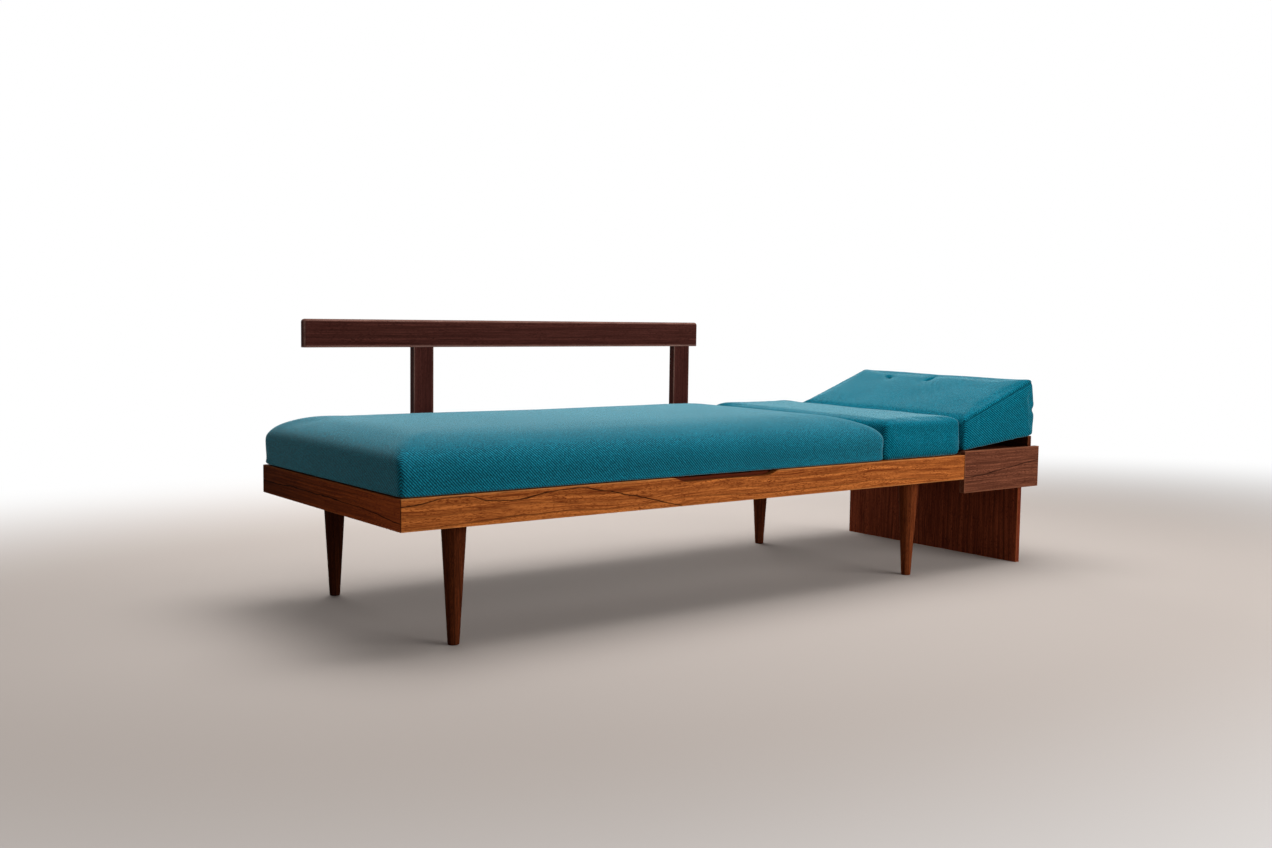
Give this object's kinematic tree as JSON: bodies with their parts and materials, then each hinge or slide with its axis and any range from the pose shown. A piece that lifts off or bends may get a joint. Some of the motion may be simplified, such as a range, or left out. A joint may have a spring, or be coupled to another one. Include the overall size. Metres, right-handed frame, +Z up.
{
  "type": "daybed sofa with pull-out end table",
  "caption": "Low rosewood daybed sofa on turned tapered legs, with a long mattress, a back rail on posts, and a pull-out end table that carries a wedge head cushion.",
  "frame": {"origin": "floor level under the middle of the whole object's box", "axes": "+X along the length towards the end table, -Y towards the front, +Z up"},
  "size_m": [2, 0.732, 0.665],
  "materials": {
    "rosewood": "oiled, satin",
    "stained_pine": "planed, stained dark",
    "pine": "planed, bare",
    "beech": "planed, waxed",
    "zinc_steel": "zinc plated",
    "teal_wool": "woven, matt",
    "foam": "open cell"
  },
  "bodies": {
    "frame": {"front_rail": "rosewood", "back_rail": "rosewood", "left_end_rail": "rosewood", "right_end_rail": "rosewood", "backrest_rail": "rosewood", "backrest_post_left": "rosewood", "backrest_post_right": "rosewood", "leg_front_left": "rosewood", "leg_front_right": "rosewood", "leg_back_left": "rosewood", "leg_back_right": "rosewood", "front_ledger": "stained_pine", "back_ledger": "stained_pine", "left_leg_rail": "stained_pine", "right_leg_rail": "stained_pine", "centre_rail": "stained_pine", "corner_blocks": "stained_pine", "slat_01": "stained_pine", "slat_02": "stained_pine", "slat_03": "stained_pine", "slat_04": "stained_pine", "slat_05": "stained_pine", "slat_06": "stained_pine", "slat_07": "stained_pine", "slat_08": "stained_pine", "slat_09": "stained_pine", "slat_10": "stained_pine", "slat_11": "stained_pine", "slat_12": "stained_pine", "slat_13": "stained_pine", "leg_bolts": "zinc_steel", "leg_tee_nuts": "zinc_steel", "ledger_screws": "zinc_steel", "leg_rail_screws": "zinc_steel", "slat_screws": "zinc_steel", "post_bolts": "zinc_steel", "post_washers": "zinc_steel", "post_nuts": "zinc_steel"},
    "mattress": {"mattress_cover": "teal_wool", "mattress_core": "foam"},
    "middle_cushion": {"middle_cushion_cover": "teal_wool", "middle_cushion_core": "foam"},
    "table": {"table_front_apron": "rosewood", "table_back_apron": "rosewood", "table_top": "rosewood", "table_end_board": "rosewood", "table_leg_panel": "rosewood", "table_runner_front": "beech", "table_runner_back": "beech", "table_stop_pegs": "beech", "table_cleats": "pine", "table_screws": "zinc_steel"},
    "head_wedge": {"head_wedge_cover": "teal_wool", "head_wedge_core": "foam"}
  },
  "joints": [
    {"name": "table_draw", "type": "slide", "parent": "frame", "child": "table", "axis": [1, 0, 0], "range_m": [0, 0.3]},
    {"name": "mattress_lift", "type": "slide", "parent": "frame", "child": "mattress", "axis": [0, 0, 1], "range_m": [0, 0.3]},
    {"name": "middle_cushion_lift", "type": "slide", "parent": "frame", "child": "middle_cushion", "axis": [0, 0, 1], "range_m": [0, 0.3]},
    {"name": "head_wedge_lift", "type": "slide", "parent": "table", "child": "head_wedge", "axis": [0, 0, 1], "range_m": [0, 0.3]}
  ]
}
